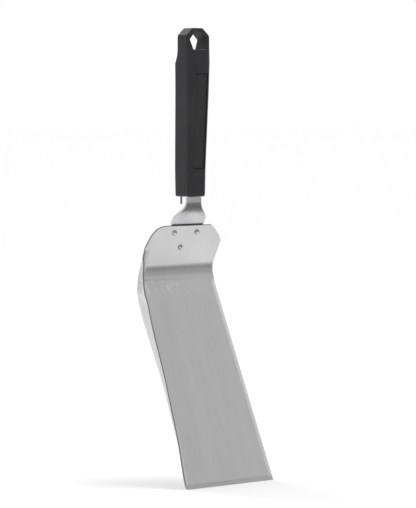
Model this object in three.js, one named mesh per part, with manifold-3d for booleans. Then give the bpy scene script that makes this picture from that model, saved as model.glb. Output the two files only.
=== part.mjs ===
// Grill spatula: a folded steel blade with one side wall, riveted to a steel shank
// whose tang is locked inside a moulded handle with a hang hole and two grip inlays.
// Millimetres. X runs across the blade, -Y is the food side, +Z points up the handle.
// The tool stands on its front edge with the handle upright.
import * as THREE from 'three';
import { mergeVertices } from 'three/addons/utils/BufferGeometryUtils.js';
import Module from 'manifold-3d';

// Driving dimensions
const fitGap = 0.3;
const sheetThickness = 1.5;
const plateTilt = THREE.MathUtils.degToRad(29.9);
const bladeTilt = THREE.MathUtils.degToRad(23.5);
const plateLength = 52.6;
const bladeLength = 228.2;
const bendRadius = 19;
const plateHalfWidth = 50;
const bendHalfWidth = 51.4;
const tipHalfWidth = 57.7;
const plateCornerSize = 19;
const plateWallCornerRadius = 21;
const plateWallHalfWidth = 54;
const wallBendDip = 3;
const wallSwell = 5.6;
const wallWaist = 3.2;
const wallTipSpread = 4;
const wallStart = 24;
const plateWallHeight = 2;
const plateWallInset = 7.7;
const bendWallFlare = 4.5;
const tipWallHeight = 3;
const plateFoldRadius = 18;
const bladeFoldRadius = 7;
const tipFoldRadius = 4;
const tipWallFlare = 0.6;
const groundEdgeWidth = 4.5;
const groundEdgeThickness = 0.5;
const tipCornerRadius = 7;
const cutReach = 30;
const pocketReach = 6;

const shankThickness = 2.5;
const neckHalfWidth = 9.4;
const neckStraight = 4;
const neckUpperPull = 10;
const neckLowerPull = 9;
const footHalfWidth = 20.5;
const footEndHalfWidth = 7;
const footLength = 36;
const tangHalfWidth = 7;
const tangLength = 112;
const tangSetForward = 4.2;

const rivetSpacing = 29;
const upperRivetDrop = 7.8;
const lowerRivetDrop = 25.5;
const rivetPinRadius = 1.6;
const rivetHeadRadius = 2.7;
const rivetHeadHeight = 1.7;
const setHeadRadius = 2.8;
const setHeadHeight = 1.3;

const handleLength = 168;
const handleTop = 452;
const handleCornerRadius = 1.4;
const inlayLength = 94.5;
const inlayThickness = 2;
const inlayRecess = 1;
const inlayLowerMargin = 28;
const inlayRim = 0.7;
const rearInlayRim = 2.2;
const inlayCornerRadius = 0.6;

const clipThickness = 1.5;
const clipLegWidth = 2;
const clipLegSpread = 7.3;
const clipSetBack = 6.1;
const clipReach = 7.6;
const clipHeight = 46;
const clipBridgeHeight = 12;
const tangPinRadius = 2;

const wasm = await Module();
wasm.setup();

const steel = { color: 0xb9b9ba, roughness: 0.35, metalness: 1 };
const shankSteel = { color: 0xb2b2b4, roughness: 0.3, metalness: 1 };
const rivetSteel = { color: 0xc4c4c6, roughness: 0.25, metalness: 1 };
const moulding = { color: 0x3b3c3e, roughness: 0.55, metalness: 0 };
const softGrip = { color: 0x2f3032, roughness: 0.8, metalness: 0 };

const handleBottom = handleTop - handleLength;
const bendAngle = plateTilt + bladeTilt;
const bendTangent = bendRadius * Math.tan(bendAngle / 2);
const bendStart = plateLength - bendTangent;
const bendEnd = bendStart + bendRadius * bendAngle;
const sheetLength = bendEnd + bladeLength - bendTangent;
const plateTopZ = plateLength * Math.cos(plateTilt) + bladeLength * Math.cos(bladeTilt);
const plateTopY = 4.2;
const backOffset = sheetThickness / 2 + fitGap + shankThickness / 2;

// ---- shared shape helpers ----

function smooth(value, from, to) {
  return THREE.MathUtils.smoothstep(value, from, to);
}

// Travel direction of a path that runs down and leans back by the given angle.
function downward(lean) {
  return new THREE.Vector3(0, Math.sin(lean), -Math.cos(lean));
}

// Normal of that path, on the food side.
function foodSide(lean) {
  return new THREE.Vector3(0, -Math.cos(lean), -Math.sin(lean));
}

function bodyFromFaces(points, faces) {
  const geometry = new THREE.BufferGeometry().setFromPoints(points);
  geometry.setIndex(faces);
  return geometry;
}

// Closed sheet between two grids of points with the same rows and columns.
function sheetBetween(front, back) {
  const rows = front.length;
  const columns = front[0].length;
  const points = [...front.flat(), ...back.flat()];
  const layer = rows * columns;
  const faces = [];
  const at = (side, row, column) => side * layer + row * columns + column;
  const quad = (a, b, c, d) => faces.push(a, b, c, a, c, d);
  for (let row = 0; row < rows - 1; row += 1) {
    for (let column = 0; column < columns - 1; column += 1) {
      quad(at(0, row, column), at(0, row, column + 1), at(0, row + 1, column + 1), at(0, row + 1, column));
      quad(at(1, row, column), at(1, row + 1, column), at(1, row + 1, column + 1), at(1, row, column + 1));
    }
    quad(at(0, row, 0), at(0, row + 1, 0), at(1, row + 1, 0), at(1, row, 0));
    const last = columns - 1;
    quad(at(0, row, last), at(1, row, last), at(1, row + 1, last), at(0, row + 1, last));
  }
  for (let column = 0; column < columns - 1; column += 1) {
    const last = rows - 1;
    quad(at(0, 0, column), at(1, 0, column), at(1, 0, column + 1), at(0, 0, column + 1));
    quad(at(0, last, column), at(0, last, column + 1), at(1, last, column + 1), at(1, last, column));
  }
  return bodyFromFaces(points, faces);
}

// Closed body through rings that share a point count, each ring turning the same way.
function loft(rings) {
  const count = rings[0].length;
  const points = rings.flat();
  const faces = [];
  for (let ring = 0; ring < rings.length - 1; ring += 1) {
    for (let i = 0; i < count; i += 1) {
      const next = (i + 1) % count;
      const low = ring * count;
      const high = low + count;
      faces.push(low + i, low + next, high + next, low + i, high + next, high + i);
    }
  }
  const top = (rings.length - 1) * count;
  for (let i = 1; i < count - 1; i += 1) {
    faces.push(0, i + 1, i, top, top + i, top + i + 1);
  }
  return bodyFromFaces(points, faces);
}

function toSolid(geometry) {
  geometry.deleteAttribute('normal');
  geometry.deleteAttribute('uv');
  const merged = mergeVertices(geometry, 1e-4);
  return new wasm.Manifold(new wasm.Mesh({
    numProp: 3,
    vertProperties: new Float32Array(merged.attributes.position.array),
    triVerts: new Uint32Array(merged.index.array),
  }));
}

function toGeometry(solid) {
  const mesh = solid.getMesh();
  const geometry = new THREE.BufferGeometry();
  geometry.setAttribute('position', new THREE.BufferAttribute(mesh.vertProperties, 3));
  geometry.setIndex(new THREE.BufferAttribute(mesh.triVerts, 1));
  return geometry;
}

function namedMesh(name, geometry, look) {
  const mesh = new THREE.Mesh(geometry, new THREE.MeshStandardMaterial(look));
  mesh.name = name;
  return mesh;
}

// Straight bar through a closed outline, from one point for a length along a direction.
function barThrough(shape, length, origin, across, up) {
  const geometry = new THREE.ExtrudeGeometry(shape, { depth: length, bevelEnabled: false, curveSegments: 8 });
  const along = new THREE.Vector3().crossVectors(across, up);
  const placement = new THREE.Matrix4().makeBasis(across, up, along).setPosition(origin);
  return geometry.applyMatrix4(placement);
}

function roundShape(radius) {
  const shape = new THREE.Shape();
  shape.absarc(0, 0, radius, 0, Math.PI * 2);
  return shape;
}

function boxBetween(low, high) {
  const size = new THREE.Vector3().subVectors(high, low);
  const centre = new THREE.Vector3().addVectors(low, high).multiplyScalar(0.5);
  return new THREE.BoxGeometry(size.x, size.y, size.z).translate(centre.x, centre.y, centre.z);
}

// ---- blade: rear plate, bend, long blade and one side wall, folded from one sheet ----

// Centre line of the sheet, by distance from the top edge of the rear plate.
function sheetLine(distance) {
  const top = new THREE.Vector3(0, plateTopY, plateTopZ);
  const bendEntry = top.addScaledVector(downward(plateTilt), Math.min(distance, bendStart));
  if (distance <= bendStart) {
    return { point: bendEntry, lean: plateTilt };
  }
  const turned = Math.min((distance - bendStart) / bendRadius, bendAngle);
  const lean = plateTilt - turned;
  const centre = bendEntry.addScaledVector(foodSide(plateTilt), bendRadius);
  const point = centre.addScaledVector(foodSide(lean), -bendRadius);
  point.addScaledVector(downward(lean), Math.max(distance - bendEnd, 0));
  return { point, lean };
}

function halfWidthAt(distance) {
  const onPlate = THREE.MathUtils.lerp(plateHalfWidth, bendHalfWidth, Math.min(distance / plateLength, 1));
  const onBlade = Math.max(distance - plateLength, 0) / bladeLength;
  return onPlate + (tipHalfWidth - bendHalfWidth) * onBlade;
}

// The wall side draws in at the bend, swells below it, and is narrower down to the tip.
function wallHalfWidthAt(distance) {
  const dip = wallBendDip * smooth(distance, plateLength - 22, plateLength - 6);
  const swell = wallSwell * smooth(distance, plateLength - 4, plateLength + 24);
  const waist = wallWaist * smooth(distance, plateLength + 42, plateLength + 122);
  const spread = wallTipSpread * smooth(distance, plateLength + 172, sheetLength);
  return plateWallHalfWidth - dip + swell - waist + spread;
}

// Free top edge of the side wall, one sweep from the rear plate to the tip.
function wallTop(distance) {
  const start = sheetLine(wallStart).point.addScaledVector(foodSide(plateTilt), plateWallHeight);
  const startPull = start.clone().addScaledVector(downward(-0.7 * bladeTilt), 29);
  const end = sheetLine(sheetLength).point.addScaledVector(foodSide(-bladeTilt), tipWallHeight);
  const endPull = end.clone().addScaledVector(downward(-bladeTilt), -78);
  const sweep = new THREE.CubicBezierCurve3(start, startPull, endPull, end);
  return sweep.getPointAt(Math.min((distance - wallStart) / (sheetLength - wallStart), 1));
}

// Side wall: a fold of some radius, then a straight run that ends on the free top edge.
// The edge sits a little inside or outside the root of the fold along the length.
function wallAt(distance) {
  const tighten = smooth(distance, plateLength - 20, plateLength + 46);
  const opening = smooth(distance, plateLength + 110, sheetLength);
  const rounded = THREE.MathUtils.lerp(plateFoldRadius, bladeFoldRadius, tighten);
  const radius = rounded - (bladeFoldRadius - tipFoldRadius) * opening;
  const out = (plateWallInset + bendWallFlare) * smooth(distance, 16, plateLength + 3);
  const upright = bendWallFlare * smooth(distance, plateLength, plateLength + 34);
  const width = radius - plateWallInset + out - upright + tipWallFlare * opening;
  const reach = foodSide(plateTilt).multiplyScalar(plateWallHeight);
  if (distance > wallStart) {
    reach.copy(wallTop(distance)).sub(sheetLine(distance).point);
  }
  const height = reach.length();
  const straight = Math.sqrt(Math.max(width ** 2 + (height - radius) ** 2 - radius ** 2, 0.2));
  const turn = Math.atan2(height - radius, width) + Math.PI / 2 - Math.atan2(straight, radius);
  return { radius, turn, straight, lean: Math.atan2(-reach.z, -reach.y) };
}

// Point of the middle surface. Across runs 0 to 1 over the flat floor, right to left,
// 1 to 2 over the fold and 2 to 3 up the straight rest of the wall.
function sheetPoint(distance, across) {
  const { point } = sheetLine(distance);
  const half = halfWidthAt(distance);
  const wall = wallAt(distance);
  const foldStart = wallHalfWidthAt(distance) - wall.radius;
  if (across <= 1) {
    return point.setX(THREE.MathUtils.lerp(half, -foldStart, across));
  }
  const up = foodSide(wall.lean);
  const turned = wall.turn * Math.min(across - 1, 1);
  const straight = wall.straight * Math.max(across - 2, 0);
  const x = -foldStart - wall.radius * Math.sin(turned) - straight * Math.cos(wall.turn);
  const height = wall.radius * (1 - Math.cos(turned)) + straight * Math.sin(wall.turn);
  return point.setX(x).addScaledVector(up, height);
}

function sheetNormal(distance, across) {
  const step = 0.01;
  const here = sheetPoint(distance, across);
  const along = sheetPoint(distance + step, across).sub(here);
  const side = sheetPoint(distance, across + step).sub(here);
  return along.cross(side).negate().normalize();
}

function steps(from, to, count) {
  return Array.from({ length: count }, (_, i) => THREE.MathUtils.lerp(from, to, i / count));
}

function bladeRows() {
  return [
    ...steps(0, 22, 4),
    ...steps(22, bendStart, 9),
    ...steps(bendStart, bendEnd, 8),
    ...steps(bendEnd, bendEnd + 45, 12),
    ...steps(bendEnd + 45, sheetLength - groundEdgeWidth, 18),
    sheetLength - groundEdgeWidth,
    sheetLength,
  ];
}

function bladeColumns(distance) {
  const floor = halfWidthAt(distance) + wallHalfWidthAt(distance) - wallAt(distance).radius;
  return [0, groundEdgeWidth / floor, 0.3, 0.55, 0.8, ...steps(1, 2, 9), 2, 2.5, 3];
}

function bladeSheet() {
  const front = [];
  const back = [];
  for (const distance of bladeRows()) {
    const atTip = distance === sheetLength;
    const columns = bladeColumns(distance);
    const frontRow = [];
    const backRow = [];
    columns.forEach((across) => {
      const ground = atTip || (across === 0 && distance > bendEnd + 3);
      const lift = ground ? groundEdgeThickness - sheetThickness / 2 : sheetThickness / 2;
      const normal = sheetNormal(distance, across);
      frontRow.push(sheetPoint(distance, across).addScaledVector(normal, lift));
      backRow.push(sheetPoint(distance, across).addScaledVector(normal, -sheetThickness / 2));
    });
    front.push(frontRow);
    back.push(backRow);
  }
  return sheetBetween(front, back);
}

// Frame on the rear plate: origin at its top edge, X to the right, Y up the plate.
function onPlate(shape, start, length) {
  const origin = sheetLine(0).point.addScaledVector(foodSide(plateTilt), start);
  return barThrough(shape, length, origin, new THREE.Vector3(1, 0, 0), downward(plateTilt).negate());
}

// Chamfered upper corner on the open side, blended into both edges.
function rightCornerCut() {
  const start = plateHalfWidth - plateCornerSize;
  const shape = new THREE.Shape();
  shape.moveTo(start - 3, 1);
  shape.lineTo(start - 3, 0);
  shape.quadraticCurveTo(start, 0, start + 2.5, -2.5);
  shape.lineTo(plateHalfWidth - 2, -plateCornerSize + 2);
  shape.quadraticCurveTo(plateHalfWidth + 0.4, -plateCornerSize - 0.4, plateHalfWidth + 0.6, -plateCornerSize - 6);
  shape.lineTo(plateHalfWidth + 10, -plateCornerSize - 6);
  shape.lineTo(plateHalfWidth + 10, 1);
  return shape;
}

// Large quarter round on the upper corner of the wall side.
function leftCornerCut() {
  const radius = plateWallCornerRadius;
  const edge = -sheetPoint(0, 3).x;
  const start = edge - radius;
  const shape = new THREE.Shape();
  shape.moveTo(-start, 1);
  shape.lineTo(-start, 0);
  shape.absarc(-start, -radius, radius, Math.PI / 2, Math.PI * 0.93, false);
  shape.lineTo(-edge - 10, -radius * 0.75);
  shape.lineTo(-edge - 10, 1);
  return shape;
}

// Rounds the lower corner on the wall side, seen square to the blade.
function tipCornerCut() {
  const wall = wallAt(sheetLength);
  const edge = -sheetPoint(sheetLength, 3).x;
  const radius = tipCornerRadius;
  const shape = new THREE.Shape();
  shape.moveTo(-edge - wall.radius, -1);
  shape.lineTo(radius - edge, -1);
  shape.lineTo(radius - edge, 0);
  shape.absarc(radius - edge, radius, radius, -Math.PI / 2, -Math.PI, true);
  shape.lineTo(-edge - wall.radius, radius);
  const up = downward(-bladeTilt).negate();
  const origin = sheetLine(sheetLength).point.addScaledVector(foodSide(-bladeTilt), -cutReach);
  return barThrough(shape, 2 * cutReach, origin, new THREE.Vector3(1, 0, 0), up);
}

const rivetPlaces = {
  rivet_left: new THREE.Vector2(-rivetSpacing / 2, -upperRivetDrop),
  rivet_right: new THREE.Vector2(rivetSpacing / 2, -upperRivetDrop),
  rivet_lower: new THREE.Vector2(0, -lowerRivetDrop),
};

function rivetHole(place) {
  const hole = new THREE.Shape();
  hole.absarc(place.x, place.y, rivetPinRadius + fitGap, 0, Math.PI * 2);
  return toSolid(onPlate(hole, -cutReach, 2 * cutReach));
}

function makeBlade() {
  let solid = toSolid(bladeSheet());
  solid = solid.subtract(toSolid(onPlate(rightCornerCut(), -cutReach, 2 * cutReach)));
  solid = solid.subtract(toSolid(onPlate(leftCornerCut(), -cutReach, 2 * cutReach)));
  solid = solid.subtract(toSolid(tipCornerCut()));
  for (const place of Object.values(rivetPlaces)) {
    solid = solid.subtract(rivetHole(place));
  }
  return namedMesh('blade', toGeometry(solid), steel);
}

// ---- shank: foot behind the rear plate, flared neck and tang, pressed from strip ----

// Middle of the neck, from under the handle back to the top of the foot.
function neckCurve() {
  const footTop = sheetLine(0).point.addScaledVector(foodSide(plateTilt), -backOffset);
  const start = new THREE.Vector3(0, -tangSetForward, handleBottom - neckStraight);
  const startPull = start.clone().setZ(start.z - neckUpperPull);
  const endPull = footTop.clone().addScaledVector(downward(plateTilt), -neckLowerPull);
  return new THREE.CubicBezierCurve3(start, startPull, endPull, footTop);
}

// Half width of the neck: narrow under the handle, then flaring out to the foot.
function neckHalfWidthAt(share) {
  return THREE.MathUtils.lerp(neckHalfWidth, footHalfWidth, smooth(share, 0.04, 0.74) ** 1.2);
}

// Half width of the foot: full down to the upper rivets, then narrowing to the lower one.
function footHalfWidthAt(drop) {
  const shoulder = upperRivetDrop + 5;
  const narrow = Math.max(drop - shoulder, 0) / (footLength - shoulder);
  return THREE.MathUtils.lerp(footHalfWidth, footEndHalfWidth, narrow);
}

function shankStations() {
  const stations = [];
  const tangTop = new THREE.Vector3(0, -tangSetForward, handleBottom + tangLength);
  const add = (point, lean, half) => stations.push({ point, lean, half });
  const shoulderZ = handleBottom - 2 * fitGap;
  add(tangTop, 0, tangHalfWidth - 2);
  add(tangTop.clone().setZ(tangTop.z - 2), 0, tangHalfWidth);
  add(tangTop.clone().setZ(shoulderZ + 0.02), 0, tangHalfWidth);
  add(tangTop.clone().setZ(shoulderZ), 0, neckHalfWidth);
  const curve = neckCurve();
  for (const share of [...steps(0, 1, 20), 1]) {
    const tangent = curve.getTangent(share);
    add(curve.getPoint(share), Math.atan2(tangent.y, -tangent.z), neckHalfWidthAt(share));
  }
  const footTop = curve.getPoint(1);
  for (const drop of [6, upperRivetDrop + 5, 20, 28, footLength - 3, footLength]) {
    const half = drop === footLength ? footHalfWidthAt(drop) - 2.5 : footHalfWidthAt(drop);
    add(footTop.clone().addScaledVector(downward(plateTilt), drop), plateTilt, half);
  }
  return stations;
}

// Cross pins through the tang: the lower one also passes through the clip behind it.
const tangPins = {
  tang_pin_lower: { z: handleBottom + clipHeight - clipBridgeHeight / 2, front: -8.2, back: 8.6 },
  tang_pin_upper: { z: handleBottom + 96, front: -10, back: 1.5 },
};

function pinHole(z) {
  const start = new THREE.Vector3(0, cutReach, z);
  const across = new THREE.Vector3(1, 0, 0);
  const up = new THREE.Vector3(0, 0, 1);
  return toSolid(barThrough(roundShape(tangPinRadius + fitGap), 2 * cutReach, start, across, up));
}

function makeShank() {
  const front = [];
  const back = [];
  for (const { point, lean, half } of shankStations()) {
    const side = (x, offset) => point.clone().setX(x).addScaledVector(foodSide(lean), offset);
    front.push([side(half, shankThickness / 2), side(-half, shankThickness / 2)]);
    back.push([side(half, -shankThickness / 2), side(-half, -shankThickness / 2)]);
  }
  let solid = toSolid(sheetBetween(front, back));
  for (const place of Object.values(rivetPlaces)) {
    solid = solid.subtract(rivetHole(place));
  }
  for (const { z } of Object.values(tangPins)) {
    solid = solid.subtract(pinHole(z));
  }
  return namedMesh('shank', toGeometry(solid), shankSteel);
}

// ---- rivets: domed head on the food side, pin and a flatter set head behind ----

function makeRivet(name, place) {
  const grip = sheetThickness + shankThickness + 3 * fitGap;
  const headUnder = grip + fitGap;
  const profile = [new THREE.Vector2(0, -setHeadHeight)];
  profile.push(new THREE.Vector2(setHeadRadius - 0.6, -setHeadHeight));
  profile.push(new THREE.Vector2(setHeadRadius, 0.6 - setHeadHeight));
  profile.push(new THREE.Vector2(setHeadRadius, 0), new THREE.Vector2(rivetPinRadius, 0));
  profile.push(new THREE.Vector2(rivetPinRadius, headUnder), new THREE.Vector2(rivetHeadRadius, headUnder));
  for (const angle of [12, 30, 48, 66, 90]) {
    const turn = THREE.MathUtils.degToRad(angle);
    const radius = rivetHeadRadius * Math.cos(turn);
    profile.push(new THREE.Vector2(angle === 90 ? 0 : radius, headUnder + rivetHeadHeight * Math.sin(turn)));
  }
  const geometry = new THREE.LatheGeometry(profile, 24);
  const mesh = namedMesh(name, geometry, rivetSteel);
  const centre = sheetLine(0).point;
  centre.x = place.x;
  centre.addScaledVector(downward(plateTilt), -place.y);
  const rear = sheetThickness / 2 + shankThickness + 2 * fitGap;
  centre.addScaledVector(foodSide(plateTilt), -rear);
  mesh.position.copy(centre);
  mesh.quaternion.setFromUnitVectors(new THREE.Vector3(0, 1, 0), foodSide(plateTilt));
  return mesh;
}

// ---- handle: one moulding, its section lofted up the length ----

// One level of the handle: height above its base, half width, front and back faces,
// and the chamfers beside them.
function level(height, half, front, frontChamfer, back, backChamfer) {
  return { z: handleBottom + height, half, front, frontChamfer, back, backChamfer };
}

const handleLevels = [
  level(0, 10.2, -11.5, 3.2, 11.8, 2),
  level(1.2, 11.4, -12.9, 3.9, 12.9, 2.5),
  level(28.5, 12, -13.5, 4.4, 12.8, 2.5),
  level(106.5, 14, -17.8, 6, 9.8, 2.5),
  level(133, 14.7, -18.4, 6.2, 9.2, 2.5),
  level(140, 14.8, -17.3, 5.4, 5.6, 2),
  level(146.5, 14.8, -15.8, 4.2, 4.4, 1.7),
  level(158, 14.8, -13.3, 1.8, 4.2, 1.5),
  level(161, 14.3, -12.7, 1.5, 4.2, 1.4),
  level(168, 6.4, -11.6, 0.8, 3.6, 0.8),
];

function levelAt(z) {
  const upper = handleLevels.findIndex((entry) => entry.z >= z);
  const high = handleLevels[Math.max(upper, 1)];
  const low = handleLevels[Math.max(upper, 1) - 1];
  const share = (z - low.z) / (high.z - low.z);
  const mixed = {};
  for (const key of Object.keys(high)) {
    mixed[key] = THREE.MathUtils.lerp(low[key], high[key], share);
  }
  return mixed;
}

// Ring of points with every corner rounded, counter-clockwise seen from above.
function roundedRing(corners, z, radius) {
  const ring = [];
  corners.forEach((corner, i) => {
    const before = corners[(i + corners.length - 1) % corners.length];
    const after = corners[(i + 1) % corners.length];
    const reachIn = Math.min(radius, 0.3 * corner.distanceTo(before));
    const reachOut = Math.min(radius, 0.3 * corner.distanceTo(after));
    const start = corner.clone().lerp(before, reachIn / corner.distanceTo(before));
    const end = corner.clone().lerp(after, reachOut / corner.distanceTo(after));
    const arc = new THREE.QuadraticBezierCurve(start, corner, end);
    for (const share of [0, 0.33, 0.67, 1]) {
      const point = arc.getPoint(share);
      ring.push(new THREE.Vector3(point.x, point.y, z));
    }
  });
  return ring;
}

function handleRing({ z, half, front, frontChamfer, back, backChamfer }) {
  const corners = [
    new THREE.Vector2(-half + frontChamfer, front),
    new THREE.Vector2(half - frontChamfer, front),
    new THREE.Vector2(half, front + frontChamfer),
    new THREE.Vector2(half, back - backChamfer),
    new THREE.Vector2(half - backChamfer, back),
    new THREE.Vector2(-half + backChamfer, back),
    new THREE.Vector2(-half, back - backChamfer),
    new THREE.Vector2(-half, front + frontChamfer),
  ];
  return roundedRing(corners, z, handleCornerRadius);
}

const hangHole = { top: 448.6, shoulder: 440.5, bottom: 430.5, topHalf: 2.8, half: 11.9, bottomHalf: 9.8 };

// Rounded coffin shape: narrow at the top, widest at the shoulder.
function hangHoleShape() {
  const { top, shoulder, bottom, topHalf, half, bottomHalf } = hangHole;
  const shape = new THREE.Shape();
  shape.moveTo(-topHalf, top);
  shape.quadraticCurveTo(-topHalf - 1.5, top, -topHalf - 2.4, top - 1.2);
  shape.lineTo(-half + 1, shoulder + 1.4);
  shape.quadraticCurveTo(-half, shoulder, -half + 0.2, shoulder - 1.6);
  shape.lineTo(-bottomHalf, bottom + 2);
  shape.quadraticCurveTo(-bottomHalf, bottom, -bottomHalf + 2, bottom);
  shape.lineTo(bottomHalf - 2, bottom);
  shape.quadraticCurveTo(bottomHalf, bottom, bottomHalf, bottom + 2);
  shape.lineTo(half - 0.2, shoulder - 1.6);
  shape.quadraticCurveTo(half, shoulder, half - 1, shoulder + 1.4);
  shape.lineTo(topHalf + 2.4, top - 1.2);
  shape.quadraticCurveTo(topHalf + 1.5, top, topHalf, top);
  return shape;
}

function hangHoleCut() {
  const across = new THREE.Vector3(1, 0, 0);
  const up = new THREE.Vector3(0, 0, 1);
  const start = new THREE.Vector3(0, cutReach, 0);
  return toSolid(barThrough(hangHoleShape(), 2 * cutReach, start, across, up));
}

// Inlay panel on the front (-1) or back (1) face, with its outer face below the rim.
function inlayBody(side, grow, outward) {
  const low = handleBottom + inlayLowerMargin;
  const high = low + inlayLength;
  const rings = [];
  for (const z of [low - grow, high + grow]) {
    const at = levelAt(z);
    const margin = side < 0 ? at.frontChamfer + inlayRim : at.backChamfer + rearInlayRim;
    const face = side < 0 ? at.front : at.back;
    const half = at.half - margin + grow;
    const outer = face - side * inlayRecess + side * outward;
    const inner = face - side * (inlayRecess + inlayThickness + grow);
    const first = Math.min(outer, inner);
    const last = Math.max(outer, inner);
    const corners = [
      new THREE.Vector2(-half, first),
      new THREE.Vector2(half, first),
      new THREE.Vector2(half, last),
      new THREE.Vector2(-half, last),
    ];
    rings.push(roundedRing(corners, z, inlayCornerRadius));
  }
  return loft(rings);
}

function tangSlot() {
  const slackX = tangHalfWidth + fitGap;
  const slackY = shankThickness / 2 + fitGap;
  const low = new THREE.Vector3(-slackX, -tangSetForward - slackY, handleBottom - 5);
  const high = new THREE.Vector3(slackX, -tangSetForward + slackY, handleBottom + tangLength + fitGap);
  return toSolid(boxBetween(low, high));
}

function clipSlot() {
  const slackX = clipLegSpread + clipLegWidth / 2 + fitGap;
  const slackY = clipThickness / 2 + fitGap;
  const low = new THREE.Vector3(-slackX, clipSetBack - slackY, handleBottom - 5);
  const high = new THREE.Vector3(slackX, clipSetBack + slackY, handleBottom + clipHeight + fitGap);
  return toSolid(boxBetween(low, high));
}

function tangPin({ z, front, back }, grow) {
  const radius = tangPinRadius + grow;
  const geometry = new THREE.CylinderGeometry(radius, radius, back - front + 2 * grow, 20);
  return geometry.translate(0, (front + back) / 2, z);
}

function makeHandle() {
  let solid = toSolid(loft(handleLevels.map(handleRing)));
  solid = solid.subtract(hangHoleCut());
  solid = solid.subtract(toSolid(inlayBody(-1, fitGap, pocketReach)));
  solid = solid.subtract(toSolid(inlayBody(1, fitGap, pocketReach)));
  solid = solid.subtract(tangSlot());
  solid = solid.subtract(clipSlot());
  for (const pin of Object.values(tangPins)) {
    solid = solid.subtract(toSolid(tangPin(pin, fitGap)));
  }
  return namedMesh('handle_body', toGeometry(solid), moulding);
}

// ---- tang clip: spring steel fork that locks the tang, its two legs showing below ----

function makeTangClip() {
  const outer = clipLegSpread + clipLegWidth / 2;
  const inner = clipLegSpread - clipLegWidth / 2;
  const shape = new THREE.Shape();
  shape.moveTo(-outer, -clipReach);
  shape.lineTo(-inner, -clipReach);
  shape.lineTo(-inner, clipHeight - clipBridgeHeight);
  shape.lineTo(inner, clipHeight - clipBridgeHeight);
  shape.lineTo(inner, -clipReach);
  shape.lineTo(outer, -clipReach);
  shape.lineTo(outer, clipHeight);
  shape.lineTo(-outer, clipHeight);
  const origin = new THREE.Vector3(0, clipSetBack + clipThickness / 2, handleBottom);
  const across = new THREE.Vector3(1, 0, 0);
  const up = new THREE.Vector3(0, 0, 1);
  let solid = toSolid(barThrough(shape, clipThickness, origin, across, up));
  solid = solid.subtract(pinHole(tangPins.tang_pin_lower.z));
  return namedMesh('tang_clip', toGeometry(solid), rivetSteel);
}

const assembly = new THREE.Group();
assembly.add(makeBlade());
assembly.add(makeShank());
for (const [name, place] of Object.entries(rivetPlaces)) {
  assembly.add(makeRivet(name, place));
}
assembly.add(makeHandle());
assembly.add(namedMesh('front_grip_inlay', inlayBody(-1, 0, 0), softGrip));
assembly.add(namedMesh('rear_grip_inlay', inlayBody(1, 0, 0), softGrip));
assembly.add(makeTangClip());
for (const [name, pin] of Object.entries(tangPins)) {
  assembly.add(namedMesh(name, tangPin(pin, 0), rivetSteel));
}

// The origin is the middle of the footprint, on the surface under the front edge.
const bounds = new THREE.Box3().setFromObject(assembly);
const middle = bounds.getCenter(new THREE.Vector3());
assembly.position.set(-middle.x, -middle.y, -bounds.min.z);

export default assembly;
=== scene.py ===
import math
from bisect import bisect_left

import bmesh
import bpy
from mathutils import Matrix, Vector, geometry


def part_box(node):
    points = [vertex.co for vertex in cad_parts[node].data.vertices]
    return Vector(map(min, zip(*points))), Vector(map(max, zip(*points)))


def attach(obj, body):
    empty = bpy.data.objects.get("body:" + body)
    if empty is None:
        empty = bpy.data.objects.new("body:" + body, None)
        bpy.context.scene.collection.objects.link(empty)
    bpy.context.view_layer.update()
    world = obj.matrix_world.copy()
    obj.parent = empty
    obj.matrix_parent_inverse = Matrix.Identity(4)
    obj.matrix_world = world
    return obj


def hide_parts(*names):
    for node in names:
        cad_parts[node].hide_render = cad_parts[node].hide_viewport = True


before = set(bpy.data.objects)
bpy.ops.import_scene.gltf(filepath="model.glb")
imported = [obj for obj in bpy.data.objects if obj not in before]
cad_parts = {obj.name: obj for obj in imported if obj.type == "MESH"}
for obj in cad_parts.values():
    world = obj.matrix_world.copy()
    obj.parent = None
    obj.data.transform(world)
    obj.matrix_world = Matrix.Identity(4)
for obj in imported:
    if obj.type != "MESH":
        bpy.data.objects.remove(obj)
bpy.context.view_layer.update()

# ---- Blade -------------------------------------------------------------------
# One piece of 1.5 mm stainless sheet: a rear plate, a rounded bend and the long blade,
# with one side wall drawn up on the left. Cut, pressed, then brushed along its length.
# The front and right edges are ground thin so that they slide under food.

MM = 0.001

plate_tilt = math.radians(29.9)
blade_tilt = math.radians(23.5)
bend_angle = plate_tilt + blade_tilt
plate_length = 52.6
blade_length = 228.2
bend_radius = 19.0
sheet_thickness = 1.5
plate_top_y = 4.2
plate_top_z = plate_length * math.cos(plate_tilt) + blade_length * math.cos(blade_tilt)
bend_start = plate_length - bend_radius * math.tan(bend_angle / 2)
bend_end = bend_start + bend_radius * bend_angle
sheet_length = bend_end + blade_length - bend_radius * math.tan(bend_angle / 2)
plate_half_width = 50.0
bend_half_width = 51.4
tip_half_width = 57.7
corner_cut = 20.0
corner_cut_power = 1.2
plate_sweep_radius = 19.0
wall_root_half_width = 54.0
wall_bend_dip = 3.0
wall_swell = 5.6
wall_waist = 3.2
wall_tip_spread = 4.0
# Where those changes in the root start and end, measured down from the bend.
wall_dip_run = (-22, -6)
wall_swell_run = (-4, 24)
wall_waist_run = (42, 122)
wall_spread_start = 172
wall_start = 24.0
wall_start_height = 2.0
wall_start_pull = 29.0
wall_start_slope = 0.7
wall_end_height = 3.0
wall_end_pull = 78.0
plate_fold_radius = 18.0
blade_fold_radius = 7.0
tip_fold_radius = 4.0
plate_edge_inset = 7.7
bend_edge_flare = 4.5
tip_edge_flare = 0.6
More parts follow.
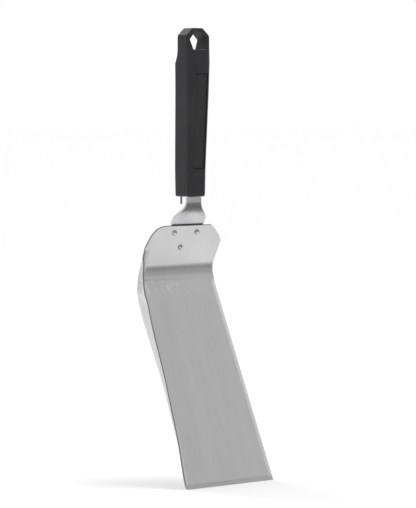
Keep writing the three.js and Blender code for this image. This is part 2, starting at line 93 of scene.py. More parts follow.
# Distances between which the fold tightens, and the wall's edge flares, stands up and opens.
fold_radius_run = (-20, 46)
edge_flare_run = (16, plate_length + 3)
edge_upright_run = (0, 34)
wall_opening_start = 110
shortest_wall_squared = 0.2
ground_width = 4.5
ground_thickness = 0.5
tip_corner_radius = 7.0


def smooth(value, start, end):
    share = min(max((value - start) / (end - start), 0), 1)
    return share * share * (3 - 2 * share)


def mix(a, b, share):
    return a + (b - a) * share


def downward(lean):
    return Vector((0, math.sin(lean), -math.cos(lean)))


def food_side(lean):
    return Vector((0, -math.cos(lean), -math.sin(lean)))


def sheet_line(distance):
    """Middle of the sheet at a distance down from the top edge of the rear plate."""
    point = Vector((0, plate_top_y, plate_top_z)) + downward(plate_tilt) * min(distance, bend_start)
    turned = min(max(distance - bend_start, 0) / bend_radius, bend_angle)
    lean = plate_tilt - turned
    point += (food_side(plate_tilt) - food_side(lean)) * bend_radius
    return point + downward(lean) * max(distance - bend_end, 0)


def half_width(distance):
    on_blade = max(distance - plate_length, 0) / blade_length
    on_plate = mix(plate_half_width, bend_half_width, min(distance / plate_length, 1))
    return on_plate + (tip_half_width - bend_half_width) * on_blade


def wall_half_width(distance):
    """The wall side draws in at the bend, swells below it, and is narrower down to the tip."""
    below_bend = distance - plate_length
    dip = wall_bend_dip * smooth(below_bend, *wall_dip_run)
    swell = wall_swell * smooth(below_bend, *wall_swell_run)
    waist = wall_waist * smooth(below_bend, *wall_waist_run)
    spread = wall_tip_spread * smooth(below_bend, wall_spread_start, sheet_length - plate_length)
    return wall_root_half_width - dip + swell - waist + spread


def sweep_points():
    """Free top edge of the side wall, one sweep from the rear plate to the tip."""
    start = sheet_line(wall_start) + food_side(plate_tilt) * wall_start_height
    start_pull = start + downward(-wall_start_slope * blade_tilt) * wall_start_pull
    end = sheet_line(sheet_length) + food_side(-blade_tilt) * wall_end_height
    end_pull = end - downward(-blade_tilt) * wall_end_pull
    return geometry.interpolate_bezier(start, start_pull, end_pull, end, 400)


wall_edge = sweep_points()
wall_edge_runs = [0.0]
for before, after in zip(wall_edge, wall_edge[1:]):
    wall_edge_runs.append(wall_edge_runs[-1] + (after - before).length)


def wall_top(distance):
    run = wall_edge_runs[-1] * min((distance - wall_start) / (sheet_length - wall_start), 1)
    i = min(max(bisect_left(wall_edge_runs, run), 1), len(wall_edge) - 1)
    share = (run - wall_edge_runs[i - 1]) / (wall_edge_runs[i] - wall_edge_runs[i - 1])
    return wall_edge[i - 1].lerp(wall_edge[i], share)


def wall(distance):
    """Turn, fold radius and straight run of the side wall up to its free edge, and its lean."""
    below_bend = distance - plate_length
    opening = smooth(below_bend, wall_opening_start, sheet_length - plate_length)
    radius = mix(plate_fold_radius, blade_fold_radius, smooth(below_bend, *fold_radius_run))
    radius -= (blade_fold_radius - tip_fold_radius) * opening
    edge = (plate_edge_inset + bend_edge_flare) * smooth(distance, *edge_flare_run)
    edge -= plate_edge_inset + bend_edge_flare * smooth(below_bend, *edge_upright_run)
    width = radius + edge + tip_edge_flare * opening
    reach = food_side(plate_tilt) * wall_start_height
    if distance > wall_start:
        reach = wall_top(distance) - sheet_line(distance)
    height = reach.length
    straight_squared = width**2 + (height - radius) ** 2 - radius**2
    straight = math.sqrt(max(straight_squared, shortest_wall_squared))
    turn = math.atan2(height - radius, width) + math.pi / 2 - math.atan2(straight, radius)
    return turn, radius, straight, math.atan2(-reach.z, -reach.y)


def outline(distance):
    """Right and left edge of the flat sheet, measured along the sheet from its middle."""
    turn, radius, straight, _ = wall(distance)
    right = half_width(distance)
    left = wall_half_width(distance) - radius + radius * turn + straight
    if distance < corner_cut:
        kept = (1 - (1 - distance / corner_cut) ** corner_cut_power) ** (1 / corner_cut_power)
        right -= corner_cut * (1 - kept)
    if distance < plate_sweep_radius:
        above = plate_sweep_radius - distance
        left -= plate_sweep_radius - math.sqrt(plate_sweep_radius**2 - above**2)
    into_corner = distance - (sheet_length - tip_corner_radius)
    if into_corner > 0:
        left -= tip_corner_radius - math.sqrt(max(tip_corner_radius**2 - into_corner**2, 0))
    return right, left


def sheet_point(distance, across):
    """Point of the middle surface; across is measured along the sheet, positive to the right."""
    point = sheet_line(distance)
    turn, radius, _, lean = wall(distance)
    fold_start = wall_half_width(distance) - radius
    beyond = -across - fold_start
    if beyond <= 0:
        return point + Vector((across, 0, 0))
    turned = min(beyond / radius, turn)
    straight = max(beyond - radius * turn, 0)
    x = -fold_start - radius * math.sin(turned) - straight * math.cos(turn)
    height = radius * (1 - math.cos(turned)) + straight * math.sin(turn)
    return point + Vector((x, 0, 0)) + food_side(lean) * height


def spaced(start, end, count):
    return [mix(start, end, i / count) for i in range(count)]


def finish_mesh(name, shape):
    """Turns the built faces into an object in the scene."""
    bmesh.ops.recalc_face_normals(shape, faces=shape.faces)
    mesh = bpy.data.meshes.new(name)
    shape.to_mesh(mesh)
    shape.free()
    piece = bpy.data.objects.new(name, mesh)
    bpy.context.scene.collection.objects.link(piece)
    return piece


def add_sheet(name, front, back, flat_places):
    """Closed sheet between two grids of points, with a UV map in millimetres of flat sheet."""
    shape = bmesh.new()
    layer = shape.loops.layers.uv.new("flat")
    rows, columns = len(front), len(front[0])
    grids = [[[shape.verts.new(p * MM) for p in row] for row in grid] for grid in (front, back)]

    def face(*corners):
        made = shape.faces.new([grids[side][r][c] for side, r, c in corners])
        made.material_index = len({side for side, _, _ in corners}) - 1
        for loop, (_, r, c) in zip(made.loops, corners):
            loop[layer].uv = flat_places[r][c]

    for r in range(rows - 1):
        for c in range(columns - 1):
            face((0, r, c), (0, r, c + 1), (0, r + 1, c + 1), (0, r + 1, c))
            face((1, r, c), (1, r + 1, c), (1, r + 1, c + 1), (1, r, c + 1))
        face((0, r, 0), (0, r + 1, 0), (1, r + 1, 0), (1, r, 0))
        last = columns - 1
        face((0, r, last), (1, r, last), (1, r + 1, last), (0, r + 1, last))
    for c in range(columns - 1):
        last = rows - 1
        face((0, 0, c), (1, 0, c), (1, 0, c + 1), (0, 0, c + 1))
        face((0, last, c), (0, last, c + 1), (1, last, c + 1), (1, last, c))
    return finish_mesh(name, shape)


def soften(piece, width, segments, angle):
    """Rounds the hard edges and shades the rest smooth."""
    bevel = piece.modifiers.new("eased_edges", "BEVEL")
    bevel.width = width * MM
    bevel.segments = segments
    bevel.limit_method = "ANGLE"
    bevel.angle_limit = math.radians(angle)
    bevel.use_clamp_overlap = True
    for polygon in piece.data.polygons:
        polygon.use_smooth = True
    normals = piece.modifiers.new("face_normals", "WEIGHTED_NORMAL")
    normals.keep_sharp = True


def place(piece, node):
    """Moves a new piece's mesh so that its middle is the middle of its CAD node's box."""
    low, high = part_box(node)
    corners = [Vector(c) for c in piece.bound_box]
    own_low = Vector([min(c[i] for c in corners) for i in range(3)])
    own_high = Vector([max(c[i] for c in corners) for i in range(3)])
    shift = (Vector(low) + Vector(high) - own_low - own_high) / 2
    for vertex in piece.data.vertices:
        vertex.co += shift


def blade_rows():
    """Distances down the sheet, closest at the rounded top, the fold and the tip corner."""
    top = 26.0
    below_fold = bend_end + 60
    corner_start = sheet_length - tip_corner_radius
    ground_start = sheet_length - ground_width
    rows = [top * (1 - math.cos(math.pi / 2 * i / 24)) for i in range(24)]
    rows += spaced(top, bend_start, 12) + spaced(bend_start, bend_end, 14)
    rows += spaced(bend_end, below_fold, 30) + spaced(below_fold, corner_start, 50)
    around = [corner_start + tip_corner_radius * math.sin(math.pi / 2 * i / 12) for i in range(12)]
    rows += [d for d in around if d < ground_start] + [ground_start]
    return rows + [d for d in around if d > ground_start + 0.05] + [sheet_length]


def make_blade():
    columns = 72
    step = 0.02
    front, back, flat_places = [], [], []
    for distance in blade_rows():
        right, left = outline(distance)
        inner = right - ground_width
        across_row = [right] + [mix(inner, -left, i / columns) for i in range(columns + 1)]
        front_row, back_row = [], []
        for i, across in enumerate(across_row):
            here = sheet_point(distance, across)
            along = sheet_point(distance + step, across) - here
            side = sheet_point(distance, across + step) - here
            normal = along.cross(side).normalized()
            thinned = max(distance - sheet_length + ground_width, 0) / ground_width
            if i == 0 and distance > bend_end + 3:
                thinned = 1
            lift = sheet_thickness / 2 - thinned * (sheet_thickness - ground_thickness)
            front_row.append(here + normal * lift)
            back_row.append(here - normal * sheet_thickness / 2)
        front.append(front_row)
        back.append(back_row)
        flat_places.append([(across, distance) for across in across_row])
    return add_sheet("blade_sheet", front, back, flat_places)


blade = make_blade()
place(blade, "blade")
soften(blade, 0.22, 2, 50)


def linear(code):
    """sRGB hex text to a linear colour."""
    parts = [int(code[i : i + 2], 16) / 255 for i in (0, 2, 4)]
    return (*[p / 12.92 if p <= 0.04045 else ((p + 0.055) / 1.055) ** 2.4 for p in parts], 1.0)


def add(tree, kind, settings=None, links=None):
    """Adds a node with its settings, then links sockets into its inputs."""
    made = tree.nodes.new(kind)
    for key, value in (settings or {}).items():
        if isinstance(key, str) and hasattr(made, key):
            setattr(made, key, value)
        else:
            made.inputs[key].default_value = value
    for key, socket in (links or {}).items():
        tree.links.new(socket, made.inputs[key])
    return made


def new_material(name):
    material = bpy.data.materials.new(name)
    material.use_nodes = True
    material.node_tree.nodes.clear()
    return material, material.node_tree


def finish_material(tree, shader):
    output = tree.nodes.new("ShaderNodeOutputMaterial")
    tree.links.new(shader.outputs[0], output.inputs["Surface"])


# Brushed stainless: 180 grit drawn along the sheet leaves hair lines about 0.1 mm wide.
# They are drawn 0.9 mm wide here so that they show, over softer bands 2.5 and 18 mm wide.
# The end of the fold carries a faint dark line, painted shade in the crease, with patchy
# lighter tone just below it; both are strongest on the wall side.
def brushed_stainless():
    material, tree = new_material("brushed_stainless_sheet")
    flat = add(tree, "ShaderNodeUVMap", {"uv_map": "flat"})
    grain = []
    for width, length, seed in ((0.9, 45, 0), (2.5, 90, 7), (18, 160, 19)):
        stretch = add(
            tree, "ShaderNodeMapping",
            {"Scale": (1 / width, 1 / length, 1), "Location": (seed, seed, 0)},
            {"Vector": flat.outputs["UV"]},
        )
        lines = add(
            tree, "ShaderNodeTexNoise",
            {"Scale": 1.0, "Detail": 2.0, "Roughness": 0.5},
            {"Vector": stretch.outputs[0]},
        )
        grain.append(lines.outputs["Fac"])
    fine, band, broad = grain
    soft = add(tree, "ShaderNodeMath", {"operation": "MULTIPLY", 1: 0.6}, {0: fine})
    lines_and_bands = add(
        tree, "ShaderNodeMath", {"operation": "MULTIPLY_ADD", 1: 0.4},
        {0: band, 2: soft.outputs[0]},
    )
    rough = add(
        tree, "ShaderNodeMapRange",
        {"From Min": 0.3, "From Max": 0.7, "To Min": 0.33, "To Max": 0.38},
        {"Value": lines_and_bands.outputs[0]},
    )
    lesser = add(
        tree, "ShaderNodeMath", {"operation": "MULTIPLY", 1: 0.65},
        {0: lines_and_bands.outputs[0]},
    )
    streaks = add(
        tree, "ShaderNodeMath", {"operation": "MULTIPLY_ADD", 1: 0.35},
        {0: broad, 2: lesser.outputs[0]},
    )
    colour = add(tree, "ShaderNodeValToRGB", None, {"Fac": streaks.outputs[0]})
    colour.color_ramp.elements[0].position = 0.3
    colour.color_ramp.elements[0].color = linear("c5c5c6")
    colour.color_ramp.elements[1].position = 0.7
    colour.color_ramp.elements[1].color = linear("d1d1d1")
    bump = add(
        tree, "ShaderNodeBump", {"Strength": 0.12, "Distance": 0.00003},
        {"Height": fine},
    )
    split = add(tree, "ShaderNodeSeparateXYZ", None, {0: flat.outputs["UV"]})
    wall_side = add(
        tree, "ShaderNodeMapRange", {"From Min": 45, "From Max": -35},
        {"Value": split.outputs["X"]},
    )
    # Painted shade: a dark line along the crease at the end of the fold, strongest on the wall side.
    past_fold = add(
        tree, "ShaderNodeMath", {"operation": "SUBTRACT", 1: bend_end + 1},
        {0: split.outputs["Y"]},
    )
    off_line = add(tree, "ShaderNodeMath", {"operation": "ABSOLUTE"}, {0: past_fold.outputs[0]})
    fold_shade_falloff = add(
        tree, "ShaderNodeMapRange",
        {"From Min": 1.6, "From Max": 0.2, "To Min": 0.0, "To Max": 0.3},
        {"Value": off_line.outputs[0]},
    )
    painted_fold_shade = add(
        tree, "ShaderNodeMath", {"operation": "MULTIPLY"},
        {0: fold_shade_falloff.outputs[0], 1: wall_side.outputs[0]},
    )
    with_fold_shade = add(
        tree, "ShaderNodeMix", {"data_type": "RGBA", 7: linear("8c8c8e")},
        {0: painted_fold_shade.outputs[0], 6: colour.outputs[0]},
    )
    # Patchy lighter tone just below the fold line, strongest on the wall side.
    below_line = add(
        tree, "ShaderNodeMath", {"operation": "SUBTRACT", 1: bend_end + 9},
        {0: split.outputs["Y"]},
    )
    off_patch_row = add(tree, "ShaderNodeMath", {"operation": "ABSOLUTE"}, {0: below_line.outputs[0]})
    near = add(
        tree, "ShaderNodeMapRange", {"From Min": 12, "From Max": 2},
        {"Value": off_patch_row.outputs[0]},
    )
    patches = add(
        tree, "ShaderNodeTexNoise", {"Scale": 0.14, "Detail": 3.0},
        {"Vector": flat.outputs["UV"]},
    )
    patchy = add(
        tree, "ShaderNodeMapRange",
        {"From Min": 0.48, "From Max": 0.62, "To Min": 0.0, "To Max": 0.55},
        {"Value": patches.outputs["Fac"]},
    )
    spot = add(
        tree, "ShaderNodeMath", {"operation": "MULTIPLY"},
        {0: near.outputs[0], 1: patchy.outputs[0]},
    )
    lighter_patch_mask = add(
        tree, "ShaderNodeMath", {"operation": "MULTIPLY"},
        {0: spot.outputs[0], 1: wall_side.outputs[0]},
    )
    with_lighter_patches = add(
        tree, "ShaderNodeMix", {"data_type": "RGBA", 7: linear("ececee")},
        {0: lighter_patch_mask.outputs[0], 6: with_fold_shade.outputs[2]},
    )
    metal = add(
        tree, "ShaderNodeBsdfPrincipled", {"Metallic": 1.0},
        {"Base Color": with_lighter_patches.outputs[2], "Roughness": rough.outputs[0], "Normal": bump.outputs[0]},
    )
    finish_material(tree, metal)
    return material


# The cut rim: sheared, then tumbled, with short cross lines; on the blade it is also rougher than the
# faces.
# Its colour is painted light: a darker tone on the blade's rim is painted shade, a brighter tone on
# the strip's rim a painted highlight.
def sheared_rim(name, code, low, high):
    material, tree = new_material(name)
    own = add(tree, "ShaderNodeTexCoord")
    tears = add(
        tree, "ShaderNodeTexNoise", {"Scale": 1500.0, "Detail": 3.0},
        {"Vector": own.outputs["Object"]},
    )
    rough = add(
        tree, "ShaderNodeMapRange", {"To Min": low, "To Max": high},
        {"Value": tears.outputs["Fac"]},
    )
    bump = add(
        tree, "ShaderNodeBump", {"Strength": 0.2, "Distance": 0.00004},
        {"Height": tears.outputs["Fac"]},
    )
    metal = add(
        tree, "ShaderNodeBsdfPrincipled", {"Metallic": 1.0, "Base Color": linear(code)},
        {"Roughness": rough.outputs[0], "Normal": bump.outputs[0]},
    )
    finish_material(tree, metal)
    return material


blade.data.materials.append(brushed_stainless())
# The blade's rim takes a darker colour than its faces: painted shade on the cut edges.
blade.data.materials.append(sheared_rim("blade_rim_painted_shade", "8e8e90", 0.4, 0.55))
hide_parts("blade")
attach(blade, "root")

# ---- Shank -------------------------------------------------------------------
# Strip of 2.5 mm stainless, blanked, then pressed to the curve of the neck.
# It flares from the tang to a rounded foot riveted behind the rear plate. Satin
# faces with lengthwise grain; the sheared edges are smoother, and their brighter colour is a painted
# highlight.
handle_top = 452.0
handle_bottom = handle_top - 168.0
shank_thickness = 2.5
sheet_gap = 0.3
tang_set_forward = 4.2
tang_length = 112.0
tang_half_width = 7.0
tang_tip_half_width = 5.0
tang_tip_chamfer = 2.0
shoulder_drop = 0.6
neck_half_width = 9.4
neck_flare = (0.04, 0.74)
neck_flare_power = 1.2
foot_half_width = 20.5
foot_length = 36.0
foot_end_half_width = 7.0
foot_end_radius = 5.0
foot_taper_start = 12.8


def shank_stations():
    """Point, lean and half width down the strip, from the top of the tang to the foot."""
    behind = sheet_thickness / 2 + sheet_gap + shank_thickness / 2
    foot_top = sheet_line(0) - food_side(plate_tilt) * behind
    tang = Vector((0, -tang_set_forward, handle_bottom))
    # The two rows of the square shoulder stand 0.02 mm apart.
    tang_outline = (
        (tang_length, tang_tip_half_width), (tang_length - tang_tip_chamfer, tang_half_width),
        (0.02 - shoulder_drop, tang_half_width), (-shoulder_drop, neck_half_width),
    )
    stations = [(tang + Vector((0, 0, rise)), 0, half) for rise, half in tang_outline]
    curve = geometry.interpolate_bezier(
        tang - Vector((0, 0, 4)), tang - Vector((0, 0, 14)),
        foot_top - downward(plate_tilt) * 9, foot_top, 65,
    )
    for i, point in enumerate(curve):
        travel = curve[min(i + 1, 64)] - curve[max(i - 1, 0)]
        flare = smooth(i / 64, *neck_flare) ** neck_flare_power
        lean = math.atan2(travel.y, -travel.z)
        stations.append((point, lean, mix(neck_half_width, foot_half_width, flare)))
    for i in range(1, 25):
        drop = foot_length * i / 24
        tapered = max(drop - foot_taper_start, 0) / (foot_length - foot_taper_start)
        half = mix(foot_half_width, foot_end_half_width, tapered)
        into_end = drop - foot_length + foot_end_radius
        if into_end > 0:
            half -= foot_end_radius - math.sqrt(foot_end_radius**2 - into_end**2)
        stations.append((foot_top + downward(plate_tilt) * drop, plate_tilt, half))
    return stations


def make_shank():
    columns = 16
    front, back, flat_places = [], [], []
    run = 0.0
    last = None
    for point, lean, half in shank_stations():
        run += (point - last).length if last else 0
        last = point
        across_row = [mix(half, -half, i / columns) for i in range(columns + 1)]
        lift = food_side(lean) * shank_thickness / 2
        front.append([point + Vector((x, 0, 0)) + lift for x in across_row])
        back.append([point + Vector((x, 0, 0)) - lift for x in across_row])
        flat_places.append([(x, run) for x in across_row])
    return add_sheet("shank_strip", front, back, flat_places)


shank = make_shank()
place(shank, "shank")
soften(shank, 0.3, 3, 50)


# Grain lines are about 0.1 mm wide on the real strip and drawn 0.35 mm wide here.
def satin_strip():
    material, tree = new_material("satin_stainless_strip")
    flat = add(tree, "ShaderNodeUVMap", {"uv_map": "flat"})
    stretch = add(
        tree, "ShaderNodeMapping", {"Scale": (1 / 0.35, 1 / 40, 1)},
        {"Vector": flat.outputs["UV"]},
    )
    grain = add(
        tree, "ShaderNodeTexNoise", {"Scale": 1.0, "Detail": 3.0},
        {"Vector": stretch.outputs[0]},
    )
    patch = add(
        tree, "ShaderNodeTexNoise", {"Scale": 0.06, "Detail": 2.0},
        {"Vector": flat.outputs["UV"]},
    )
    colour = add(tree, "ShaderNodeValToRGB", None, {"Fac": patch.outputs["Fac"]})
    colour.color_ramp.elements[0].position = 0.35
    colour.color_ramp.elements[0].color = linear("b8b8ba")
    colour.color_ramp.elements[1].position = 0.65
    colour.color_ramp.elements[1].color = linear("c6c6c8")
    rough = add(
        tree, "ShaderNodeMapRange", {"To Min": 0.2, "To Max": 0.34},
        {"Value": grain.outputs["Fac"]},
    )
    bump = add(
        tree, "ShaderNodeBump", {"Strength": 0.15, "Distance": 0.00003},
        {"Height": grain.outputs["Fac"]},
    )
    metal = add(
        tree, "ShaderNodeBsdfPrincipled", {"Metallic": 1.0},
        {"Base Color": colour.outputs[0], "Roughness": rough.outputs[0], "Normal": bump.outputs[0]},
    )
    finish_material(tree, metal)
    return material


shank.data.materials.append(satin_strip())
# The strip's rim takes a brighter colour than its faces: a painted highlight on the cut edges.
shank.data.materials.append(sheared_rim("strip_rim_painted_highlight", "d4d4d6", 0.22, 0.34))
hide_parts("shank")
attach(shank, "root")

# ---- Rivets ------------------------------------------------------------------
# Three stainless rivets hold the foot behind the rear plate: a low dome on the food
# side and a flatter set head behind. Headed cold and tumbled bright, so only faint
# scuffs show.
rivet_pin_radius = 1.6
rivet_head_radius = 2.7
rivet_head_height = 1.7


def make_rivet(name):
    """Turned profile about the rivet's own axis, from the set head to the dome."""
    head_under = sheet_thickness + shank_thickness + 4 * sheet_gap
    profile = [(0, -1.3), (1.9, -1.3), (2.4, -1.1), (2.75, -0.7), (2.8, -0.3), (2.75, 0)]
    profile += [(rivet_pin_radius, 0), (rivet_pin_radius, head_under)]
    for i in range(13):
        turn = math.pi / 2 * i / 12
        rim = 0.12 * math.sin(min(turn * 4, math.pi / 2))
        height = head_under + rim + (rivet_head_height - rim) * math.sin(turn)
        profile.append((rivet_head_radius * math.cos(turn), height))
    shape = bmesh.new()
    sides = 48
    rings = []
    for radius, height in profile:
        if radius < 1e-6:
            rings.append([shape.verts.new(Vector((0, 0, height)) * MM)])
            continue
        angles = [2 * math.pi * i / sides for i in range(sides)]
        ring = [Vector((radius * math.cos(t), radius * math.sin(t), height)) * MM for t in angles]
        rings.append([shape.verts.new(corner) for corner in ring])
    for low, high in zip(rings, rings[1:]):
        for i in range(sides):
            j = (i + 1) % sides
            corners = [low[i % len(low)], low[j % len(low)], high[j % len(high)], high[i % len(high)]]
            shape.faces.new(list(dict.fromkeys(corners)))
    tilt = Vector((0, 0, 1)).rotation_difference(food_side(plate_tilt)).to_matrix()
    bmesh.ops.transform(shape, matrix=tilt.to_4x4(), verts=shape.verts)
    piece = finish_mesh(name, shape)
    for polygon in piece.data.polygons:
        polygon.use_smooth = True
    return piece


def bright_rivet():
    material, tree = new_material("tumbled_bright_steel")
    own = add(tree, "ShaderNodeTexCoord")
    scuff = add(
        tree, "ShaderNodeTexNoise", {"Scale": 900.0, "Detail": 3.0},
        {"Vector": own.outputs["Object"]},
    )
    rough = add(
        tree, "ShaderNodeMapRange", {"To Min": 0.08, "To Max": 0.2},
        {"Value": scuff.outputs["Fac"]},
    )
    bump = add(
        tree, "ShaderNodeBump", {"Strength": 0.1, "Distance": 0.00003},
        {"Height": scuff.outputs["Fac"]},
    )
    metal = add(
        tree, "ShaderNodeBsdfPrincipled", {"Metallic": 1.0, "Base Color": linear("c0c0c2")},
        {"Roughness": rough.outputs[0], "Normal": bump.outputs[0]},
    )
    finish_material(tree, metal)
    return material


bright_steel = bright_rivet()
for node in ("rivet_left", "rivet_right", "rivet_lower"):
    rivet = make_rivet(node + "_turned")
    place(rivet, node)
    rivet.data.materials.append(bright_steel)
    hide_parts(node)
    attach(rivet, "root")

# ---- Handle ------------------------------------------------------------------
# One glass-filled nylon moulding: chamfered all round, slimmer at the foot and
# stepped back above the grip to the hang hole. The mould was spark eroded, so the
# skin is finely pitted and the touched edges are polished a little.

# Each level: height above the base, half width, front face and its chamfer,
# back face and its chamfer.
handle_levels = (
    (0, 10.2, -11.5, 3.2, 11.8, 2),
    (1.2, 11.4, -12.9, 3.9, 12.9, 2.5),
    (28.5, 12, -13.5, 4.4, 12.8, 2.5),
    (106.5, 14, -17.8, 6, 9.8, 2.5),
    (133, 14.7, -18.4, 6.2, 9.2, 2.5),
    (140, 14.8, -17.3, 5.4, 5.6, 2),
    (146.5, 14.8, -15.8, 4.2, 4.4, 1.7),
    (158, 14.8, -13.3, 1.8, 4.2, 1.5),
    (161, 14.3, -12.7, 1.5, 4.2, 1.4),
    (168, 6.4, -11.6, 0.8, 3.6, 0.8),
)
# Right half of the hang hole, from the middle of its top edge to the middle of its bottom.
hole_half_outline = (
    (0, 448.6), (2.8, 448.6), (4.3, 448.5), (5.2, 447.4), (10.9, 441.9), (11.7, 441.2),
    (11.9, 440.4), (11.7, 438.9), (9.8, 432.5), (9.6, 431.2), (9, 430.6), (7.8, 430.5), (0, 430.5),
)
# Half width, set from the axis, thickness and length of what each slot in the foot takes.
tang_in_slot = (tang_half_width, -tang_set_forward, shank_thickness, tang_length)
clip_in_slot = (8.3, 6.1, 1.5, 46.0)


def handle_level(z):
    """Section of the handle at a height, mixed from the levels on either side."""
    height = z - handle_bottom
    for low, high in zip(handle_levels, handle_levels[1:]):
        if height <= high[0]:
            share = (height - low[0]) / (high[0] - low[0])
            return [mix(a, b, share) for a, b in zip(low, high)][1:]
    return list(handle_levels[-1][1:])


def rounded(corners, z, radius, pieces=5):
    """Ring through the corners of a section, with every corner rounded."""
    ring = []
    for i, corner in enumerate(corners):
        ends = []
        for other in (corners[i - 1], corners[(i + 1) % len(corners)]):
            span = (other - corner).length
            ends.append(corner.lerp(other, min(radius, 0.42 * span) / span))
        for k in range(pieces + 1):
            t = k / pieces
            point = ends[0] * (1 - t) ** 2 + corner * 2 * t * (1 - t) + ends[1] * t**2
            ring.append(Vector((point.x, point.y, z)))
    return ring


def loft(name, rings):
    """Closed body through rings with the same number of points."""
    shape = bmesh.new()
    made = [[shape.verts.new(p * MM) for p in ring] for ring in rings]
    count = len(rings[0])
    for low, high in zip(made, made[1:]):
        for i in range(count):
            j = (i + 1) % count
            shape.faces.new((low[i], low[j], high[j], high[i]))
    shape.faces.new(list(reversed(made[0])))
    shape.faces.new(made[-1])
    return finish_mesh(name, shape)


def cut_away(piece, cutter):
    """Cuts one body out of another for good, so that no cutter is left in the scene."""
    boolean = piece.modifiers.new("cut", "BOOLEAN")
    boolean.operation = "DIFFERENCE"
    boolean.solver = "EXACT"
    boolean.object = cutter
    bpy.context.view_layer.update()
    shown = piece.evaluated_get(bpy.context.evaluated_depsgraph_get())
    result = bpy.data.meshes.new_from_object(shown)
    piece.modifiers.clear()
    piece.data = result
    bpy.data.objects.remove(cutter)


def handle_ring(z):
    half, front, front_chamfer, back, back_chamfer = handle_level(z)
    corners = [
        Vector((-half + front_chamfer, front)), Vector((half - front_chamfer, front)),
        Vector((half, front + front_chamfer)), Vector((half, back - back_chamfer)),
        Vector((half - back_chamfer, back)), Vector((-half + back_chamfer, back)),
        Vector((-half, back - back_chamfer)), Vector((-half, front + front_chamfer)),
    ]
    return rounded(corners, z, 1.4)


inlay_low = handle_bottom + 28.0
inlay_high = inlay_low + 94.5
inlay_set_in = 1.0
inlay_thickness = 2.0
inlay_rim = 0.7
rear_inlay_margin = 1.5


def inlay_rings(side, grow, outward):
    """Panel on the front (-1) or back (1) face, set in below the rim around it."""
    rings = []
    for i in range(9):
        z = mix(inlay_low - grow, inlay_high + grow, i / 8)
        half, front, front_chamfer, back, back_chamfer = handle_level(z)
        chamfer = front_chamfer if side < 0 else back_chamfer + rear_inlay_margin
        face = front if side < 0 else back
        half += grow - chamfer - inlay_rim
        outer = face - side * (inlay_set_in - outward)
        inner = face - side * (inlay_set_in + inlay_thickness + grow)
        first, last = min(outer, inner), max(outer, inner)
        corners = [
            Vector((-half, first)), Vector((half, first)),
            Vector((half, last)), Vector((-half, last)),
        ]
        rings.append(rounded(corners, z, 0.6, 3))
    return rings


def slot_rings(half, y, thickness, length):
    """Slot with clearance all round, open at the foot of the handle."""
    x = half + sheet_gap
    slack = thickness / 2 + sheet_gap
    corners = [(-x, y - slack), (x, y - slack), (x, y + slack), (-x, y + slack)]
    ends = (handle_bottom - 5, handle_bottom + length + sheet_gap)
    return [[Vector((*corner, z)) for corner in corners] for z in ends]


def make_handle():
    body = loft("handle_moulding", [handle_ring(handle_bottom + entry[0]) for entry in handle_levels])
    hole = [Vector((x, 0, z)) for x, z in hole_half_outline]
    hole += [Vector((-p.x, 0, p.z)) for p in reversed(hole[1:-1])]
    cutters = [loft("hole_cutter", [[p + Vector((0, y, 0)) for p in hole] for y in (-40, 40)])]
    cutters += [loft("slot_cutter", slot_rings(*inside)) for inside in (tang_in_slot, clip_in_slot)]
    cutters += [loft("pocket_cutter", inlay_rings(side, sheet_gap, 6)) for side in (-1, 1)]
    for cutter in cutters:
        cut_away(body, cutter)
    return body


handle = make_handle()
place(handle, "handle_body")
soften(handle, 0.45, 3, 28)


# Spark texture is about 0.05 mm deep with 0.3 mm pits; drawn 0.5 mm wide here so
# that it shows. Wear follows the pointed edges.
def moulded_nylon():
    material, tree = new_material("spark_textured_nylon")
    own = add(tree, "ShaderNodeTexCoord")
    pits = add(
        tree, "ShaderNodeTexNoise", {"Scale": 2000.0, "Detail": 2.0},
        {"Vector": own.outputs["Object"]},
    )
    cloud = add(
        tree, "ShaderNodeTexNoise", {"Scale": 60.0, "Detail": 3.0},
        {"Vector": own.outputs["Object"]},
    )
    shape = add(tree, "ShaderNodeNewGeometry")
    edge = add(
        tree, "ShaderNodeMapRange", {"From Min": 0.52, "From Max": 0.62},
        {"Value": shape.outputs["Pointiness"]},
    )
    colour = add(tree, "ShaderNodeValToRGB", None, {"Fac": cloud.outputs["Fac"]})
    colour.color_ramp.elements[0].position = 0.3
    colour.color_ramp.elements[0].color = linear("2a2a2c")
    colour.color_ramp.elements[1].position = 0.7
    colour.color_ramp.elements[1].color = linear("303032")
    worn = add(tree, "ShaderNodeMath", {"operation": "MULTIPLY", 1: -0.12}, {0: edge.outputs[0]})
    base = add(
        tree, "ShaderNodeMapRange", {"To Min": 0.42, "To Max": 0.6},
        {"Value": pits.outputs["Fac"]},
    )
    rough = add(
        tree, "ShaderNodeMath", {"operation": "ADD"},
        {0: base.outputs[0], 1: worn.outputs[0]},
    )
    bump = add(
        tree, "ShaderNodeBump", {"Strength": 0.35, "Distance": 0.00005},
        {"Height": pits.outputs["Fac"]},
    )
    skin = add(
        tree, "ShaderNodeBsdfPrincipled", {"Specular IOR Level": 0.22},
        {"Base Color": colour.outputs[0], "Roughness": rough.outputs[0], "Normal": bump.outputs[0]},
    )
    finish_material(tree, skin)
    return material


handle.data.materials.append(moulded_nylon())
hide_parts("handle_body")
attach(handle, "root")

# ---- Grip inlays -------------------------------------------------------------
# Two near-black soft-touch panels pressed into pockets in the front and back faces.
# Moulded with fine lengthwise ribs about 1 mm apart, drawn 1.8 mm apart so that they show.


